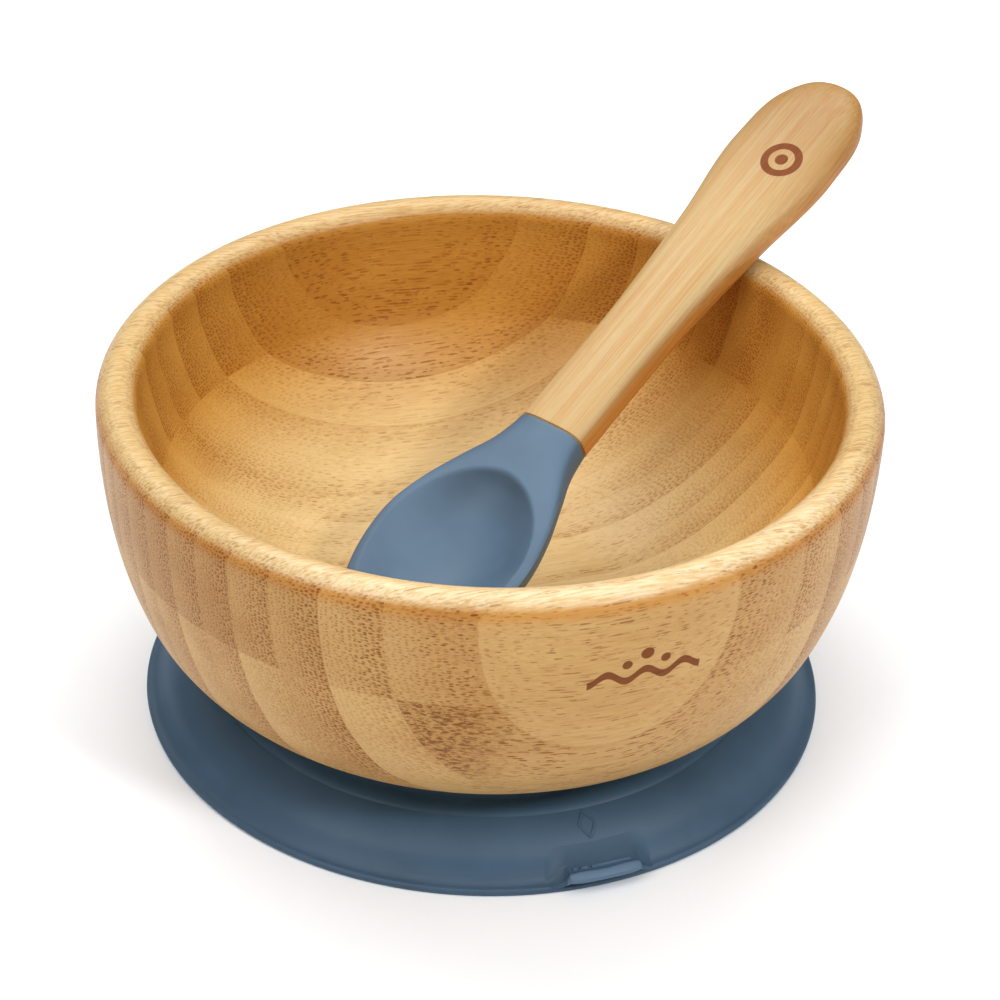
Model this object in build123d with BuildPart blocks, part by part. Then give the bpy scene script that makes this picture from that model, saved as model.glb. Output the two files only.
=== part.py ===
"""A turned bamboo feeding bowl on a silicone suction base, with its matching spoon.

Millimetres, +Z up. The origin is on the table, at the centre of the suction base.
"""

from build123d import *

import math
import os

# --- Bowl: turned from three glued boards, each of them edge-glued from bamboo strips ---
RIM_RADIUS = 63.6  # outside of the rim, so the bowl is 127 mm wide
RIM_ROUND = 3.35  # radius of the rounded lip
RIM_Z = 61.0  # highest point of the lip
BOARD_TOPS = (21.5, 41.5, 62.0)  # the glue planes, and above the lip
BLANK_BOTTOM_Z = 8.0
STRIP_THICKNESS = 5.95
STRIP_FIRST_FACE = 60.2  # distance of the outermost glue face from the axis
STRIP_COUNT = 22
STRIP_BEARING = 18.0  # degrees that the strips are turned about the bowl's axis
FLOOR_Z = 18.5
SHOULDER_Z = 12.3
SHOULDER_RADIUS = 44.5
SPIGOT_RADIUS = 38.0  # round foot that plugs into the base
SPIGOT_BOTTOM_Z = 8.6
SPIGOT_CHAMFER = 0.8
OUTSIDE_POINTS = [(51.9, 16.4), (56.4, 21.8), (60.0, 30.4), (62.3, 40.5), (63.4, 50.9)]
INSIDE_POINTS = [(55.6, 49.0), (53.5, 41.5), (49.0, 34.7), (43.0, 28.4), (33.0, 21.7)]
FLOOR_RADIUS = 20.0

# --- Suction base: a stiff collar that holds the bowl, and a soft skirt round it ---
SKIRT_RADIUS = 57.4
LIP_HEIGHT = 1.3  # thin bead round the skirt's edge
FLANGE_RADIUS = 47.2  # step where the collar's flange meets the skirt
FLANGE_TOP_Z = 8.6
SKIRT_TOP_Z = 8.0
SKIRT_SHOULDER = (53.0, 5.1)  # the skirt's slope passes through it
SKIRT_HOLLOW = (51.6, 3.2)  # and the underside through this
SKIRT_ROOT_Z = 5.6
FLANGE_BOTTOM_Z = 6.0
FLANGE_CHAMFER = 0.4
SEAT_INNER_RADIUS = 53.8  # inner edge of the ring that seals on the table
MEMBRANE_TOP_Z = 8.3
MEMBRANE_BOTTOM_Z = 6.4
COLLAR_TOP_Z = 11.8
COLLAR_RADIUS = 42.6
COVE_TOP_Z = 10.6  # hollow fillet between the collar and its flange
COVE_MIDDLE = (43.0, 9.5)
COVE_FOOT = (44.2, 8.8)
RIB_RADIUS = 26.0  # stiffening ring under the membrane
RIB_WIDTH = 2.0
RIB_DROP = 0.8
RUNNING_GAP = 0.1  # radial gap at the foot and at the flange

# --- Release tab: a tongue on the skirt that is lifted to let air in ---
TAB_BEARING = 20.7  # degrees round from the bowl's front
TAB_HINGE_RADIUS = 54.3
TAB_END_RADIUS = 58.9
TAB_HALF_WIDTH = 6.0
TAB_CORNER = 0.8  # how much narrower the tab's outer edge is on each side
TAB_SIDE_LENGTH = 3.2  # from the hinge to where the corner begins
TAB_ROOT_HALF_WIDTH = 8.0
TAB_BOTTOM_Z = 2.6
TAB_TOP_Z = 4.1
TAB_GAP = 0.15
RIDGE_RADIUS = 56.8
RIDGE_LENGTH = 3.6
RIDGE_SPACING = 4.8
RIDGE_WIDTH = 0.9
RIDGE_HEIGHT = 0.5
RIDGE_ROUND = 0.4

# --- Spoon: bamboo handle, silicone head ---
SPOON_JOINT = (9.6, 7.9, 47.2)  # middle of the handle's top face, where the head begins
SPOON_TILT = 26.0  # degrees above level, up along the handle
SPOON_BEARING = 49.8  # degrees from +X, seen from above
HANDLE_LENGTH = 85.3
HANDLE_THICKNESS = 8.0
HANDLE_ROUND = 3.2
HANDLE_SIDE = [(0.0, 6.4), (28.0, 6.5), (48.0, 8.2), (67.5, 10.5), (80.0, 8.4)]
TENON_LENGTH = 11.0
TENON_WIDTH = 7.0
TENON_THICKNESS = 3.6
TENON_ROUND = 0.8
# Across the head: distance from the joint, half width, height of the crown, depth of the belly.
HEAD_SECTIONS = [
    (0.0, 6.4, 2.2, 5.8),
    (5.0, 7.6, 2.2, 6.0),
    (11.0, 10.4, 1.8, 7.2),
    (18.0, 13.2, 1.3, 8.6),
    (25.0, 15.0, 1.0, 9.2),
    (32.0, 14.8, 1.0, 8.6),
    (39.5, 12.8, 1.0, 7.0),
    (47.0, 8.8, 1.0, 4.9),
    (51.6, 3.3, 0.9, 2.4),
]
# Across the dish: distance from the joint, half width and depth.
DISH_SECTIONS = [
    (11.5, 2.6, 0.7),
    (14.0, 7.0, 2.6),
    (19.0, 11.2, 4.9),
    (25.0, 13.3, 6.2),
    (31.5, 13.2, 6.2),
    (38.3, 11.3, 4.9),
    (45.0, 7.2, 2.7),
    (48.2, 2.4, 0.7),
]
DISH_RISE = 3.0  # how far the cutting shape stands above the head's top

os.makedirs("parts", exist_ok=True)


def write(piece, name):
    """Labels a finished piece and writes it as its own STEP."""
    piece.part.label = name
    export_step(piece.part, f"parts/{name}.step")


# ---------------------------------------------------------------- the bowl
lip_base_z = RIM_Z - RIM_ROUND
rim_middle = RIM_RADIUS - RIM_ROUND

with BuildPart() as turned_bowl:
    with BuildSketch(Plane.XZ):
        with BuildLine():
            Polyline(
                (0, FLOOR_Z),
                (0, SPIGOT_BOTTOM_Z),
                (SPIGOT_RADIUS - SPIGOT_CHAMFER, SPIGOT_BOTTOM_Z),
                (SPIGOT_RADIUS, SPIGOT_BOTTOM_Z + SPIGOT_CHAMFER),
                (SPIGOT_RADIUS, SHOULDER_Z),
                (SHOULDER_RADIUS, SHOULDER_Z),
            )
            Spline(
                (SHOULDER_RADIUS, SHOULDER_Z),
                *OUTSIDE_POINTS,
                (RIM_RADIUS, lip_base_z),
                tangents=((1, 0.28), (0, 1)),
            )
            ThreePointArc(
                (RIM_RADIUS, lip_base_z),
                (rim_middle, RIM_Z),
                (rim_middle - RIM_ROUND, lip_base_z),
            )
            Spline(
                (rim_middle - RIM_ROUND, lip_base_z),
                *INSIDE_POINTS,
                (FLOOR_RADIUS, FLOOR_Z),
                tangents=((0, -1), (-1, 0)),
            )
            Line((FLOOR_RADIUS, FLOOR_Z), (0, FLOOR_Z))
        make_face()
    revolve(axis=Axis.Z)


def glued_strips(bottom, top, first):
    """Every second strip of one board of the bowl, counted from the first one given."""
    board_plane = Plane.XY.offset(bottom).rotated((0, 0, STRIP_BEARING))
    middles = [
        STRIP_THICKNESS * (number + 0.5) - STRIP_FIRST_FACE - STRIP_THICKNESS
        for number in range(first, STRIP_COUNT, 2)
    ]
    with BuildPart() as bars:
        with BuildSketch(board_plane):
            with Locations(*[(0, middle) for middle in middles]):
                Rectangle(2.2 * RIM_RADIUS, STRIP_THICKNESS)
        extrude(amount=top - bottom)
    with BuildPart() as strips:
        add(turned_bowl.part)
        add(bars.part, mode=Mode.INTERSECT)
    return strips


board_bottoms = (BLANK_BOTTOM_Z, *BOARD_TOPS[:-1])
for board, bottom, top in zip(("foot", "wall", "rim"), board_bottoms, BOARD_TOPS):
    for first, parity in enumerate(("odd", "even")):
        write(glued_strips(bottom, top, first), f"{board}_board_{parity}_strips")


# ---------------------------------------------------------------- the suction base
collar_inner = SPIGOT_RADIUS + RUNNING_GAP
skirt_inner = FLANGE_RADIUS + RUNNING_GAP

with BuildPart() as base_collar:
    with BuildSketch(Plane.XZ):
        with BuildLine():
            Polyline(
                (collar_inner, COLLAR_TOP_Z),
                (collar_inner, MEMBRANE_TOP_Z),
                (0, MEMBRANE_TOP_Z),
                (0, MEMBRANE_BOTTOM_Z),
                (RIB_RADIUS - RIB_WIDTH / 2, MEMBRANE_BOTTOM_Z),
                (RIB_RADIUS - RIB_WIDTH / 2, MEMBRANE_BOTTOM_Z - RIB_DROP),
                (RIB_RADIUS + RIB_WIDTH / 2, MEMBRANE_BOTTOM_Z - RIB_DROP),
                (RIB_RADIUS + RIB_WIDTH / 2, MEMBRANE_BOTTOM_Z),
                (COLLAR_RADIUS, FLANGE_BOTTOM_Z),
                (FLANGE_RADIUS, FLANGE_BOTTOM_Z),
                (FLANGE_RADIUS, FLANGE_TOP_Z - FLANGE_CHAMFER),
                (FLANGE_RADIUS - FLANGE_CHAMFER, FLANGE_TOP_Z),
                COVE_FOOT,
            )
            ThreePointArc(COVE_FOOT, COVE_MIDDLE, (COLLAR_RADIUS, COVE_TOP_Z))
            Polyline(
                (COLLAR_RADIUS, COVE_TOP_Z),
                (COLLAR_RADIUS, COLLAR_TOP_Z),
                (collar_inner, COLLAR_TOP_Z),
            )
        make_face()
    revolve(axis=Axis.Z)
write(base_collar, "base_collar")

with BuildPart() as suction_skirt:
    with BuildSketch(Plane.XZ):
        with BuildLine():
            Line((SEAT_INNER_RADIUS, 0), (SKIRT_RADIUS - LIP_HEIGHT / 2, 0))
            ThreePointArc(
                (SKIRT_RADIUS - LIP_HEIGHT / 2, 0),
                (SKIRT_RADIUS, LIP_HEIGHT / 2),
                (SKIRT_RADIUS - LIP_HEIGHT / 2, LIP_HEIGHT),
            )
            ThreePointArc(
                (SKIRT_RADIUS - LIP_HEIGHT / 2, LIP_HEIGHT),
                SKIRT_SHOULDER,
                (skirt_inner, SKIRT_TOP_Z),
            )
            Line((skirt_inner, SKIRT_TOP_Z), (skirt_inner, SKIRT_ROOT_Z))
            ThreePointArc((skirt_inner, SKIRT_ROOT_Z), SKIRT_HOLLOW, (SEAT_INNER_RADIUS, 0))
        make_face()
    revolve(axis=Axis.Z)
write(suction_skirt, "suction_skirt")

# The tab's own plane: +X runs outwards through the tab.
tab_angle = math.radians(TAB_BEARING)
tab_plane = Plane(
    origin=(0, 0, 0),
    x_dir=(math.sin(tab_angle), -math.cos(tab_angle), 0),
    z_dir=(0, 0, 1),
)

# The skirt's shape enlarged by the gap, to be cut from the tab.
clearance_radius = SKIRT_RADIUS - LIP_HEIGHT / 2 + TAB_GAP
with BuildPart() as skirt_clearance:
    with BuildSketch(Plane.XZ):
        with BuildLine():
            ThreePointArc(
                (clearance_radius, LIP_HEIGHT + TAB_GAP),
                (SKIRT_SHOULDER[0] + TAB_GAP, SKIRT_SHOULDER[1] + TAB_GAP),
                (skirt_inner, SKIRT_TOP_Z + TAB_GAP),
            )
            Polyline(
                (skirt_inner, SKIRT_TOP_Z + TAB_GAP),
                (skirt_inner, 0),
                (clearance_radius, 0),
                (clearance_radius, LIP_HEIGHT + TAB_GAP),
            )
        make_face()
    revolve(axis=Axis.Z)

with BuildPart() as release_tab:
    with BuildSketch(tab_plane.offset(TAB_BOTTOM_Z)):
        with BuildLine() as tab_outline:
            Line((TAB_HINGE_RADIUS, 0), (TAB_HINGE_RADIUS, TAB_ROOT_HALF_WIDTH))
            Spline(
                (TAB_HINGE_RADIUS, TAB_ROOT_HALF_WIDTH),
                (TAB_HINGE_RADIUS + TAB_SIDE_LENGTH, TAB_HALF_WIDTH),
                tangents=((1, -1), (1, 0)),
            )
            Spline(
                (TAB_HINGE_RADIUS + TAB_SIDE_LENGTH, TAB_HALF_WIDTH),
                (TAB_END_RADIUS, TAB_HALF_WIDTH - TAB_CORNER),
                tangents=((1, 0), (0, -1)),
            )
            Line((TAB_END_RADIUS, TAB_HALF_WIDTH - TAB_CORNER), (TAB_END_RADIUS, 0))
            mirror(tab_outline.line, about=Plane.XZ)
        make_face()
    extrude(amount=TAB_TOP_Z - TAB_BOTTOM_Z)
    with BuildSketch(tab_plane.offset(TAB_TOP_Z)):
        with Locations((RIDGE_RADIUS, -RIDGE_SPACING / 2), (RIDGE_RADIUS, RIDGE_SPACING / 2)):
            RectangleRounded(RIDGE_WIDTH, RIDGE_LENGTH, RIDGE_ROUND)
    extrude(amount=RIDGE_HEIGHT)
    add(skirt_clearance.part, mode=Mode.SUBTRACT)
write(release_tab, "release_tab")


# ---------------------------------------------------------------- the spoon
tilt = math.radians(SPOON_TILT)
bearing = math.radians(SPOON_BEARING)
# The spoon's own plane: +X runs up the handle, +Z out of its top face.
spoon_plane = Plane(
    origin=SPOON_JOINT,
    x_dir=(math.cos(tilt) * math.cos(bearing), math.cos(tilt) * math.sin(bearing), math.sin(tilt)),
    z_dir=(-math.sin(tilt) * math.cos(bearing), -math.sin(tilt) * math.sin(bearing), math.cos(tilt)),
)


def spoon_station(distance):
    """The plane across the spoon, this far from the joint towards the tip."""
    return Plane(
        origin=spoon_plane.from_local_coords((-distance, 0, 0)),
        x_dir=-spoon_plane.y_dir,
        z_dir=-spoon_plane.x_dir,
    )


with BuildPart() as tenon:
    with BuildSketch(spoon_station(0)):
        with Locations((0, -HANDLE_THICKNESS / 2)):
            RectangleRounded(TENON_WIDTH, TENON_THICKNESS, TENON_ROUND)
    extrude(amount=TENON_LENGTH)

with BuildPart() as spoon_handle:
    with BuildSketch(spoon_plane):
        with BuildLine() as handle_outline:
            Line((0, 0), HANDLE_SIDE[0])
            Spline(*HANDLE_SIDE, (HANDLE_LENGTH, 0), tangents=((1, 0), (0, -1)))
            mirror(handle_outline.line, about=Plane.XZ)
        make_face()
    extrude(amount=-HANDLE_THICKNESS)
    long_edges = spoon_handle.edges().filter_by(
        lambda edge: abs((edge @ 0.5 - edge @ 0).dot(spoon_plane.z_dir)) < 0.01 and edge.length > 20
    )
    fillet(long_edges, radius=HANDLE_ROUND)
    add(tenon.part)
write(spoon_handle, "spoon_handle")


def oval_section(distance, half_width, middle_z, rise, belly):
    """An oval across the spoon's head, which may be deeper below its middle than above."""
    with BuildSketch(spoon_station(distance)) as section:
        with BuildLine():
            EllipticalCenterArc((0, middle_z), half_width, rise, start_angle=0, arc_size=180)
            EllipticalCenterArc((0, middle_z), half_width, belly, start_angle=180, arc_size=180)
        make_face()
    return section.sketch


head_ovals = [
    oval_section(distance, half_width, -crown, crown, belly)
    for distance, half_width, crown, belly in HEAD_SECTIONS
]
dish_ovals = [
    oval_section(distance, half_width, 0, DISH_RISE, depth)
    for distance, half_width, depth in DISH_SECTIONS
]

with BuildPart() as spoon_head:
    loft(sections=head_ovals)
    loft(sections=dish_ovals, mode=Mode.SUBTRACT)
    add(tenon.part, mode=Mode.SUBTRACT)
write(spoon_head, "spoon_head")
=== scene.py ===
"""Looks of the suction bowl: turned bamboo boards, a silicone base with its tab, and the spoon.

Lengths are millimetres in the outlines below and metres in the meshes. The frame is the model's
own: +Z up, the table at z 0, the bowl's axis on Z and its front towards -Y.
"""

import math

import bpy
import numpy as np
from mathutils import Euler, Matrix, Vector


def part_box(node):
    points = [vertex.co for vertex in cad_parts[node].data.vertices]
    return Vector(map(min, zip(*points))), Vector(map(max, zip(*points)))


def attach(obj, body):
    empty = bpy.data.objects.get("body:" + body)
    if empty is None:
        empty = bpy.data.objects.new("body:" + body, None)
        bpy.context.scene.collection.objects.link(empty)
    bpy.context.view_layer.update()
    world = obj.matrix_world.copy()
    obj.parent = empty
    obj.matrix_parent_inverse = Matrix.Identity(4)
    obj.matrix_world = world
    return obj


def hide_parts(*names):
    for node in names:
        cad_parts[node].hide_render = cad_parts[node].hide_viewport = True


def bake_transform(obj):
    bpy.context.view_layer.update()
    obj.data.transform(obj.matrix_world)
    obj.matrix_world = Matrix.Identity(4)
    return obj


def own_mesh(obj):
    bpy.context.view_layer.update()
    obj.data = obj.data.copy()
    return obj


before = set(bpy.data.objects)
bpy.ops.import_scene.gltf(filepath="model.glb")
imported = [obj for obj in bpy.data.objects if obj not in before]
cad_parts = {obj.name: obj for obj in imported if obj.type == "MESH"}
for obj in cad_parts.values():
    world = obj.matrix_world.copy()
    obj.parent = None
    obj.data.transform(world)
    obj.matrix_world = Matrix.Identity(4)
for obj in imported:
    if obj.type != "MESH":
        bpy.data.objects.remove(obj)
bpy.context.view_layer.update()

MM = 0.001
TURNED_SIDES = 384  # facets round a turned shape
OUTLINE_STEP = 0.7  # distance between points on a curved outline
TINY = 1e-6  # shorter lengths are nothing


# ------------------------------------------------------------------ curves and meshes


def smooth_curve(points, start, end, step=OUTLINE_STEP):
    """Points along a smooth curve through the given ones, leaving and arriving along the directions."""
    points = np.array(points, float)
    chords = np.linalg.norm(np.diff(points, axis=0), axis=1)
    along = np.concatenate([[0], np.cumsum(chords)])
    slopes = np.gradient(points, along, axis=0)
    for place, direction in ((0, start), (-1, end)):
        slopes[place] = np.array(direction, float) / np.linalg.norm(direction)
    curve = [points[0]]
    for number, chord in enumerate(chords):
        count = max(2, math.ceil(chord / step))
        for t in np.linspace(0, 1, count + 1)[1:]:
            from_point = (2 * t**3 - 3 * t**2 + 1) * points[number]
            from_point = from_point + (t**3 - 2 * t**2 + t) * chord * slopes[number]
            to_point = (3 * t**2 - 2 * t**3) * points[number + 1]
            to_point = to_point + (t**3 - t**2) * chord * slopes[number + 1]
            curve.append(from_point + to_point)
    return np.array(curve)


def arc(centre, radius, first, last, count=14):
    """Points on a circular arc, with its angles in degrees."""
    angles = np.radians(np.linspace(first, last, count))
    return np.array(centre) + radius * np.stack([np.cos(angles), np.sin(angles)], axis=1)


def heights_between(curve, low, high):
    """The part of an outline between two heights, ending exactly on them."""
    rising = curve[-1, 1] > curve[0, 1]
    if not rising:
        curve = curve[::-1]
    inside = curve[(curve[:, 1] > low) & (curve[:, 1] < high)]
    ends = [(np.interp(z, curve[:, 1], curve[:, 0]), z) for z in (low, high)]
    part = np.vstack([ends[0], inside, ends[1]])
    return part if rising else part[::-1]


def add_mesh(name, vertices, faces, material, sharp_above=35.0):
    """A smooth-shaded mesh object from millimetre vertices, with edges sharper than the angle kept."""
    mesh = bpy.data.meshes.new(name)
    mesh.from_pydata([tuple(v) for v in np.array(vertices) * MM], [], faces)
    mesh.validate()
    mesh.polygons.foreach_set("use_smooth", [True] * len(mesh.polygons))
    mesh.set_sharp_from_angle(angle=math.radians(sharp_above))
    mesh.materials.append(material)
    piece = bpy.data.objects.new(name, mesh)
    bpy.context.scene.collection.objects.link(piece)
    return piece


def lathe_faces(outline, sides=TURNED_SIDES):
    """Vertices and faces of a (radius, height) outline turned round Z, with poles on the axis."""
    vertices, rings = [], []
    angles = np.linspace(0, 2 * math.pi, sides, endpoint=False)
    for radius, height in outline:
        start = len(vertices)
        if radius < TINY:
            vertices.append((0, 0, height))
            rings.append([start] * sides)
            continue
        vertices += [(radius * math.sin(a), -radius * math.cos(a), height) for a in angles]
        rings.append(list(range(start, start + sides)))
    closed = outline[0][0] > TINY
    faces = []
    for number in range(len(rings) if closed else len(rings) - 1):
        lower, upper = rings[number], rings[(number + 1) % len(rings)]
        for side in range(sides):
            after = (side + 1) % sides
            corners = [lower[side], lower[after], upper[after], upper[side]]
            faces.append(list(dict.fromkeys(corners)))
    return vertices, faces


def loft_faces(loops, close_start=True, close_end=True):
    """Vertices and faces joining equal closed loops in order, each end filled with one face."""
    vertices = [tuple(p) for loop in loops for p in loop]
    count = len(loops[0])
    faces = []
    for number in range(len(loops) - 1):
        base, above = number * count, (number + 1) * count
        for place in range(count):
            after = (place + 1) % count
            faces.append([base + place, base + after, above + after, above + place])
    if close_start:
        faces.append(list(range(count))[::-1])
    if close_end:
        last = (len(loops) - 1) * count
        faces.append(list(range(last, last + count)))
    return vertices, faces


def joined(*shapes):
    """Several shapes' vertices and faces as those of one mesh."""
    vertices, faces = [], []
    for points, sides in shapes:
        faces += [[corner + len(vertices) for corner in face] for face in sides]
        vertices += points
    return vertices, faces


# ------------------------------------------------------------------ shader building

MIX_FIRST, MIX_SECOND, MIX_RESULT = 6, 7, 2  # the colour sockets of a Mix node


class Nodes:
    """A material's node tree, with short calls for the nodes used here."""

    def __init__(self, name):
        self.material = bpy.data.materials.new(name)
        self.material.use_nodes = True
        self.tree = self.material.node_tree
        self.shader = self.tree.nodes["Principled BSDF"]

    def node(self, kind, settings=None, **inputs):
        """A node with its settings, and its inputs linked or set by name."""
        made = self.tree.nodes.new(kind)
        for key, value in (settings or {}).items():
            setattr(made, key, value)
        for key, value in inputs.items():
            self.feed(made.inputs[key.replace("_", " ")], value)
        return made

    def feed(self, socket, value):
        """The socket linked to another, or set to a value."""
        if isinstance(value, bpy.types.NodeSocket):
            self.tree.links.new(value, socket)
        else:
            socket.default_value = value

    def math(self, operation, *values):
        """One step of arithmetic."""
        made = self.tree.nodes.new("ShaderNodeMath")
        made.operation = operation
        for socket, value in zip(made.inputs, values):
            self.feed(socket, value)
        return made.outputs[0]

    def plus(self, value, other):
        return self.math("ADD", value, other)

    def minus(self, value, other):
        return self.math("SUBTRACT", value, other)

    def times(self, value, other):
        return self.math("MULTIPLY", value, other)

    def mix(self, factor, first, second, blend="MIX"):
        """Two colours mixed."""
        made = self.tree.nodes.new("ShaderNodeMix")
        made.data_type = "RGBA"
        made.blend_type = blend
        self.feed(made.inputs["Factor"], factor)
        for number, value in ((MIX_FIRST, first), (MIX_SECOND, second)):
            linked = isinstance(value, bpy.types.NodeSocket)
            self.feed(made.inputs[number], value if linked else (*value, 1))
        return made.outputs[MIX_RESULT]

    def ease(self, value, low, high, to_low=0.0, to_high=1.0):
        """The value's place between low and high, eased at both ends."""
        made = self.node("ShaderNodeMapRange", {"interpolation_type": "SMOOTHSTEP"})
        names = ("Value", "From Min", "From Max", "To Min", "To Max")
        for socket, given in zip(names, (value, low, high, to_low, to_high)):
            self.feed(made.inputs[socket], given)
        return made.outputs["Result"]

    def combine(self, x, y, z):
        """A vector from its three parts."""
        made = self.tree.nodes.new("ShaderNodeCombineXYZ")
        for socket, value in zip(made.inputs, (x, y, z)):
            self.feed(socket, value)
        return made.outputs[0]

    def noise(self, vector, scale, detail=2.0, roughness=0.5):
        """Smooth noise about 0.5."""
        made = self.node("ShaderNodeTexNoise", None, Vector=vector, Scale=scale)
        made.inputs["Detail"].default_value = detail
        made.inputs["Roughness"].default_value = roughness
        return made.outputs["Fac"]

    def place(self, origin, turn):
        """The surface's place in millimetres from an origin, along turned axes, and its normal."""
        coordinates = self.tree.nodes.new("ShaderNodeTexCoord")
        mapping = self.node("ShaderNodeMapping", {"vector_type": "TEXTURE"})
        self.feed(mapping.inputs["Vector"], coordinates.outputs["Object"])
        mapping.inputs["Location"].default_value = origin
        mapping.inputs["Rotation"].default_value = turn
        mapping.inputs["Scale"].default_value = (MM, MM, MM)
        return mapping.outputs[0], coordinates.outputs["Normal"]

    def split(self, vector):
        """A vector's three parts."""
        made = self.tree.nodes.new("ShaderNodeSeparateXYZ")
        self.feed(made.inputs[0], vector)
        return made.outputs[0], made.outputs[1], made.outputs[2]

    def steps(self, value, levels):
        """Level number n of the list where the value is between n and n + 1."""
        made = self.node("ShaderNodeValToRGB")
        made.color_ramp.interpolation = "CONSTANT"
        middle = self.math("ADD", self.math("FLOOR", value), 0.5)
        self.feed(made.inputs[0], self.math("DIVIDE", middle, float(len(levels))))
        stops = made.color_ramp.elements
        while len(stops) < len(levels):
            stops.new(0.5)
        for number in range(len(levels)):
            stops[number].position = number / len(levels)
        for number, level in enumerate(levels):
            stops[number].color = (level, level, level, 1)
        return made.outputs[0]


# ------------------------------------------------------------------ bamboo

STRIP_THICKNESS = 5.95
STRIP_FIRST_FACE = 60.2 + STRIP_THICKNESS  # outer face of the outermost strip, from the axis
STRIP_BEARING = 18.0  # degrees from X to the way the strips run
BOARD_TOPS = (21.5, 41.5)  # heights of the two joints between the boards
# How dark each strip of a board is, from the front of the bowl to its back.
RIM_TONES = (0.38, 0.50, 0.44, 0.64, 0.62, 0.78, 0.68, 0.80, 0.62, 0.45, 0.34, 0.42)
RIM_TONES += (0.30, 0.46, 0.32, 0.50, 0.40, 0.55, 0.70, 0.80, 0.80, 0.80, 0.80)
WALL_TONES = (0.34, 0.38, 0.08, 0.52, 0.02, 0.40, 0.12, 0.36, 0.18, 0.30, 0.10, 0.26)
WALL_TONES += (0.16, 0.32, 0.12, 0.28, 0.18, 0.15, 0.10, 0.75, 0.80, 0.80, 0.80)
FOOT_TONES = (0.40, 0.30, 0.18, 0.45, 0.14, 0.30, 0.10, 0.36, 0.15, 0.26, 0.12, 0.26)
FOOT_TONES += (0.10, 0.30, 0.14, 0.26, 0.18, 0.32, 0.16, 0.45, 0.40, 0.50, 0.40)
BAMBOO_LIGHT = (0.57, 0.345, 0.128)
BAMBOO_DARK = (0.41, 0.200, 0.051)
FIBRE_TINT = (0.46, 0.25, 0.05)  # what a fibre bundle leaves of its strip's colour
TORN_FIBRE = (0.17, 0.046, 0.004)  # where the weathered strip is torn deepest
BURNT = (0.215, 0.042, 0.003)
CHARRED, CHARRED_BUNDLE = tuple(c * 0.45 for c in BURNT), tuple(c * 0.4 for c in BURNT)
BAMBOO_SPECULAR = 0.2
BAMBOO_RELIEF = 0.00008  # metres

BUNDLE_SPACING = 0.52  # between the fibre bundles of a strip
BUNDLE_SCATTER = 0.65
BUNDLE_RADII = (0.24, 0.35)  # as shares of the spacing, at a strip's loose and dense side
BUNDLE_EDGE = 0.08  # half the width of a bundle's soft edge, as a share of the spacing
FIBRE_SWAY = 2.0  # how far the fibres wander sideways
# Squares of the normal's part along the fibres: where bundles begin to be dots, and all are.
END_GRAIN = (0.03, 0.3)

DOT_EDGE = 0.08  # half the width of a burnt dot's soft edge
WAVE_LENGTH = 6.2
WAVE_HEIGHT = 0.85
WAVE_LINE = (0.80, 0.64)  # half width of the line, at the outside and inside of its soft edge
WAVE_END = (9.3, 9.1)  # half length of the line, likewise
WAVE_DOTS = (  # middle and radius of each
    ((-WAVE_LENGTH / 2, 2.3), 0.8),
    ((0.0, 3.9), 1.05),
    ((WAVE_LENGTH / 2, 2.3), 0.8),
)
RING_OUTSIDE, RING_INSIDE, RING_DOT = 3.7, 2.35, 1.15  # radii


def round_dot(nodes, across, up, middle, radius):
    """1 inside a round dot with a slightly soft edge."""
    squares = []
    for value, centre in zip((across, up), middle):
        off = nodes.minus(value, centre)
        squares.append(nodes.times(off, off))
    distance = nodes.math("SQRT", nodes.plus(*squares))
    return nodes.ease(distance, radius + DOT_EDGE, radius - DOT_EDGE)


def wave_mark(nodes, across, up):
    """A plain burnt ornament: a wavy line of three crests below three round dots."""
    phase = nodes.times(across, 2 * math.pi / WAVE_LENGTH)
    wave = nodes.times(nodes.math("COSINE", phase), WAVE_HEIGHT)
    off_line = nodes.math("ABSOLUTE", nodes.minus(up, wave))
    from_middle = nodes.math("ABSOLUTE", across)
    line = nodes.ease(off_line, *WAVE_LINE)
    mark = nodes.times(line, nodes.ease(from_middle, *WAVE_END))
    for place, radius in WAVE_DOTS:
        mark = nodes.math("MAXIMUM", mark, round_dot(nodes, across, up, place, radius))
    return mark


def ring_mark(nodes, across, up):
    """A plain burnt ornament: a ring round a dot."""
    middle = (0.0, 0.0)
    outer = round_dot(nodes, across, up, middle, RING_OUTSIDE)
    inner = round_dot(nodes, across, up, middle, RING_INSIDE)
    ring = nodes.minus(outer, inner)
    return nodes.math("MAXIMUM", ring, round_dot(nodes, across, up, middle, RING_DOT))


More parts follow.
